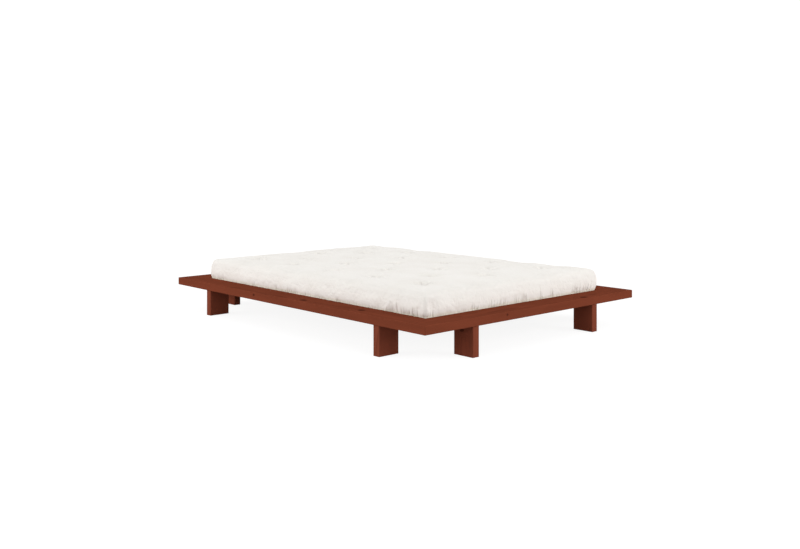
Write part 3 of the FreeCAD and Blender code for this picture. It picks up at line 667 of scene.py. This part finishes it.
# Places where the seam is drawn up most: start and end along the outline, and the tallest pleat
head_start, left_start, foot_start = side_length, side_length + end_length, 2 * side_length + end_length
foot_middle, left_middle = foot_start + half_width, left_start + half_length
drawn_up = [(foot_middle + start, foot_middle + end, tallest) for start, end, tallest in (
    (-0.68, -0.63, 0.04), (-0.37, -0.31, 0.035), (-0.24, -0.10, 0.045), (-0.03, 0.08, 0.07),
    (0.185, 0.21, 0.075), (0.27, 0.31, 0.05), (0.46, 0.63, 0.065))]
drawn_up += [(left_middle - start, left_middle - end, tallest) for start, end, tallest in (
    (0.96, 0.84, 0.03), (0.51, 0.48, 0.04), (0.27, 0.04, 0.035), (-0.30, -0.34, 0.03),
    (-0.71, -0.80, 0.06), (-0.82, -0.95, 0.045))]
# The right side and the head, which the photograph doesn't show, get such places at even steps
unseen_start, unseen_step = 0.2, 0.45
unseen_length, unseen_height = (0.05, 0.2), (0.03, 0.07)
for spot in np.arange(unseen_start, left_start, unseen_step):
    drawn_up.append((spot, spot + chance.uniform(*unseen_length), chance.uniform(*unseen_height)))
# Small pleats all round, then the larger ones of those places: least and most of each measure
small_spacing, small_height, small_depth = (0.009, 0.022), (0.022, 0.036), (0.003, 0.006)
large_spacing, large_share, large_depth = (0.01, 0.024), (0.5, 1), (0.009, 0.018)
hidden = rim_top - futon_base
pleats = []
spot = 0.0
while spot < perimeter:
    spot += chance.uniform(*small_spacing)
    pleats.append((spot, chance.uniform(*small_height), chance.uniform(*small_depth)))
for start, end, tallest in drawn_up:
    spot = start
    while spot < end:
        pleats.append((spot, hidden + tallest * chance.uniform(*large_share), chance.uniform(*large_depth)))
        spot += chance.uniform(*large_spacing)

points = mesh_points(casing.data)
normals = np.empty(points.size)
casing.data.vertices.foreach_get("normal", normals)
normals = normals.reshape(-1, 3)
x, y, height = points[:, 0], points[:, 1], points[:, 2] - futon_base
on_side = half_width - np.abs(x) < half_length - np.abs(y)
around = np.where(on_side, np.where(x > 0, y + half_length, left_middle - y),
                  np.where(y > 0, head_start + half_width - x, foot_middle + x))
# Furrows start above a flat lip at the seam and stay on the upright part of the cloth
lip, lip_rise, furrow_top, upright = 0.003, 0.004, 0.115, 0.8
most_lean, furrow_width, deepest_furrow = 0.2, (0.0018, 0.003), 0.021
widths_felt, fade_power = 5, 0.7
lower = (height > lip) & (height < furrow_top) & (np.abs(normals[:, 2]) < upright)
furrow = np.zeros(len(points))
for spot, pleat_height, depth in pleats:
    lean, width = chance.uniform(-most_lean, most_lean), chance.uniform(*furrow_width)
    beside = np.abs(around - spot - lean * height)
    near = np.flatnonzero(lower & (beside < widths_felt * width))
    fade = np.clip(1 - height[near] / pleat_height, 0, 1) ** fade_power
    furrow[near] = np.maximum(furrow[near], depth * fade * np.exp(-beside[near] / width))
# The corners' spare cloth is tucked in and leaves a shallow pocket, deepest at the foot's left corner
tuck_depth, tuck_width, tuck_top = 0.002, 0.014, 0.1
pocket_past, pocket_width, pocket_level, pocket_rise = 0.045, 0.035, 0.055, 0.045
for corner, deepest in ((0.0, 0.006), (head_start, 0.005), (left_start, 0.004), (foot_start, 0.01)):
    past = (around - corner + perimeter / 2) % perimeter - perimeter / 2
    tuck = tuck_depth * np.exp(-(past / tuck_width) ** 2) * np.clip(1.1 - height / tuck_top, 0, 1)
    pocket = deepest * np.exp(-((past - pocket_past) / pocket_width) ** 2
                              - ((height - pocket_level) / pocket_rise) ** 2)
    furrow += np.where(lower, tuck + pocket, 0)
furrow *= np.clip((height - lip) / lip_rise, 0, 1)
level_normals = normals * (1, 1, 0)
points -= level_normals * np.minimum(furrow, deepest_furrow)[:, None]
# The stuffing lies fuller in the right corner of the foot and the left corner of the head: each
# corner's place, how far the fullness spreads and how far it pushes the cloth
full_from, full_rise = 0.014, 0.05
for corner_x, corner_y, spread_x, spread_y, push in (
        (half_width, -half_length, 0.16, 0.3, (0.013, 0, 0.007)),
        (-half_width, half_length, 0.06, 0.2, (0, 0, 0.009))):
    fuller = np.exp(-np.hypot((x - corner_x) / spread_x, (y - corner_y) / spread_y) ** 2)
    fuller *= np.clip((height - full_from) / full_rise, 0, 1)
    points += fuller[:, None] * np.array(push)

# The stuffing has settled here and there along the upper edge: a place along each side and a depth
settle_inset, settle_reach, settle_above = 0.06, 0.08, 0.06
edge_x, edge_y = half_width - settle_inset, half_length - settle_inset
settled = [(edge_x, spot, depth) for spot, depth in (
    (0.8, 0.004), (0.48, 0.005), (-0.46, 0.006), (-0.735, 0.005))]
settled += [(-edge_x, spot, depth) for spot, depth in ((0.62, 0.004), (0.15, 0.005), (-0.38, 0.004))]
settled += [(spot, edge_y, depth) for spot, depth in ((-0.05, 0.003), (0.48, 0.004))]
settled += [(spot, -edge_y, depth) for spot, depth in ((-0.3, 0.004), (0.25, 0.005))]
for spot_x, spot_y, depth in settled:
    sunk = np.exp(-((x - spot_x) ** 2 + (y - spot_y) ** 2) / settle_reach**2)
    points[:, 2] -= np.where(height > settle_above, depth, 0) * sunk

# Puckers: the tie's pinch at each tuft, and small folds that run out from it
pinch_depth, pinch_reach = 0.016, 0.018
pucker_height, pucker_ring, pucker_width, pucker_reach, pucker_above = 0.005, 0.042, 0.028, 0.13, 0.08
for tuft_x, tuft_y in tufts:
    away = np.hypot(x - tuft_x, y - tuft_y)
    near = np.flatnonzero((away < pucker_reach) & (height > pucker_above))
    angle = np.arctan2(y[near] - tuft_y, x[near] - tuft_x)
    folds, turn = int(chance.integers(4, 7)), chance.uniform(0, math.tau)
    size = np.exp(-(((away[near] - pucker_ring) / pucker_width) ** 2))
    points[near, 2] += pucker_height * size * np.cos(folds * angle + turn)
    points[near, 2] -= pinch_depth * np.exp(-away[near] / pinch_reach)
casing.data.vertices.foreach_set("co", points.ravel())
casing.data.update()
casing.data.shade_smooth()
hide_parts("futon_casing", "futon_core")


# Tufts
# Waxed cotton twine tied right through the futon holds a small tuft of cotton yarn at each end.
# The yarns lie crossed over the twine and spread like a flower.
tuft_yarn = cotton("tuft_yarn", (241, 238, 231), (222, 215, 204), 0.0004, 0.0001)
yarns, yarn_radius, yarn_reach, yarn_lift, yarn_bed = 16, 0.0014, 0.011, 0.003, 0.0005
# Each yarn strays from its even place and has its own reach and lift, as shares of the common ones
yarn_stray, reach_shares, lift_shares = 0.5, (0.6, 1.2), (0.5, 1.4)
# Its arch, as shares of its reach and of its lift
yarn_arch = ((0.0, 0.5), (0.35, 1.0), (0.75, 0.8), (1.0, 0.1))
yarn_curve = bpy.data.curves.new("tuft_yarns", "CURVE")
yarn_curve.dimensions = "3D"
yarn_curve.bevel_depth = yarn_radius
yarn_curve.bevel_resolution = 1
yarn_curve.resolution_u = 3
for tuft_x, tuft_y in tufts:
    seats = points[np.hypot(points[:, 0] - tuft_x, points[:, 1] - tuft_y) < yarn_reach / 2][:, 2]
    for seat, up in ((seats.max(), 1), (seats.min(), -1)):
        for number in range(yarns):
            angle = math.tau * (number + chance.uniform(-yarn_stray, yarn_stray)) / yarns
            reach = yarn_reach * chance.uniform(*reach_shares)
            lift = yarn_lift * chance.uniform(*lift_shares)
            spline = yarn_curve.splines.new("NURBS")
            spline.points.add(len(yarn_arch) - 1)
            for point, (out, rise) in zip(spline.points, yarn_arch):
                spot = (tuft_x + out * reach * math.cos(angle), tuft_y + out * reach * math.sin(angle),
                        seat + up * (rise * lift - yarn_bed))
                point.co = (*spot, 1)
            spline.use_endpoint_u = True
            spline.order_u = 3
yarn_object = bpy.data.objects.new("tuft_yarns", yarn_curve)
scene.collection.objects.link(yarn_object)
made_yarns = yarn_object.evaluated_get(bpy.context.evaluated_depsgraph_get())
yarn_mesh = bpy.data.meshes.new_from_object(made_yarns)
bpy.data.objects.remove(yarn_object)
yarn_mesh.materials.clear()
yarn_mesh.materials.append(tuft_yarn)
yarn_mesh.shade_smooth()
tuft_piece = bpy.data.objects.new("tuft_flowers", yarn_mesh)
scene.collection.objects.link(tuft_piece)
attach(tuft_piece, "futon")
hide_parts("tuft_ties")


# Stage
# A plain pale floor, and soft light from two large softboxes and a white room.
# The floor and the room look white to the camera and in reflections, and the floor keeps the shadow.
floor_mesh = bpy.data.meshes.new("floor")
floor_reach = 30
floor_corners = [(floor_reach * x, floor_reach * y, 0) for x, y in ((-1, -1), (1, -1), (1, 1), (-1, 1))]
floor_mesh.from_pydata(floor_corners, [], [(0, 1, 2, 3)])
floor = bpy.data.objects.new("floor", floor_mesh)
scene.collection.objects.link(floor)
floor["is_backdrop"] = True


def plain_sight(tree):
    """1 for the rays that show the white surroundings as they look, and 0 for those that light things."""
    sight = tree.nodes.new("ShaderNodeLightPath").outputs
    direct = maths(tree, "MAXIMUM", sight["Is Camera Ray"], sight["Is Glossy Ray"])
    return maths(tree, "MAXIMUM", direct, sight["Is Transmission Ray"])


floor_finish, tree, surface = new_material("pale_floor")
floor_grey, paper_grey, paper_glow = (0.5, 0.5, 0.5, 1), (0.2, 0.2, 0.2, 1), 0.89
surface["Base Color"].default_value = floor_grey
surface["Roughness"].default_value = 1
surface["Specular IOR Level"].default_value = 0
paper = tree.nodes.new("ShaderNodeBsdfDiffuse")
paper.inputs["Color"].default_value = paper_grey
glow = tree.nodes.new("ShaderNodeEmission")
glow.inputs["Strength"].default_value = paper_glow
both = tree.nodes.new("ShaderNodeAddShader")
tree.links.new(paper.outputs[0], both.inputs[0])
tree.links.new(glow.outputs[0], both.inputs[1])
seen = tree.nodes.new("ShaderNodeMixShader")
tree.links.new(plain_sight(tree), seen.inputs[0])
tree.links.new(tree.nodes["Principled BSDF"].outputs[0], seen.inputs[1])
tree.links.new(both.outputs[0], seen.inputs[2])
tree.links.new(seen.outputs[0], tree.nodes["Material Output"].inputs[0])
floor_mesh.materials.append(floor_finish)

# The room is brightest near the floor, so upright faces are as light as level ones
world = bpy.data.worlds.new("white_room")
scene.world = world
world.use_nodes = True
tree = world.node_tree
room = tree.nodes["Background"]
room.inputs["Color"].default_value = (1, 1, 1, 1)
split = tree.nodes.new("ShaderNodeSeparateXYZ")
tree.links.new(tree.nodes.new("ShaderNodeTexCoord").outputs["Generated"], split.inputs[0])
low_light, high_light = 1.28, 0.64
room_light = ramp(tree, split.outputs["Z"], 0.3, 0.6, low_light, high_light)
feed(tree, room.inputs["Strength"], maths(tree, "MAXIMUM", plain_sight(tree), room_light))

# Two large softboxes, one out to the left of the bed and one beyond its foot, wide of the camera
lamp_distance, lamp_rise, lamp_watts = 9, math.radians(20), 258
lamp_aim = Vector((0, 0, 0.2))
level_reach = lamp_distance * math.cos(lamp_rise)
for name, turn in (("softbox_left", 295), ("softbox_foot", 155)):
    lamp_data = bpy.data.lights.new(name, "AREA")
    lamp_data.shape = "RECTANGLE"
    lamp_data.size = 5
    lamp_data.size_y = 3
    lamp_data.energy = lamp_watts
    lamp = bpy.data.objects.new(name, lamp_data)
    scene.collection.objects.link(lamp)
    bearing = math.radians(turn)
    lamp.location = (level_reach * math.sin(bearing), level_reach * math.cos(bearing),
                     lamp_distance * math.sin(lamp_rise))
    lamp.rotation_euler = (lamp_aim - lamp.location).to_track_quat("-Z", "Y").to_euler()

# A level camera off the bed's left corner of the foot, with the lens shifted down onto the bed
camera_data = bpy.data.cameras.new("camera")
camera_data.lens = 42.12
camera_data.sensor_width = 36
camera_data.shift_y = -0.154
camera = bpy.data.objects.new("camera", camera_data)
scene.collection.objects.link(camera)
camera.location = (-3.866, -4.2723, 1.0122)
camera.rotation_euler = (math.radians(90), 0, math.radians(-42.475))
scene.camera = camera
scene.view_settings.view_transform = "Standard"

low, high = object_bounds()
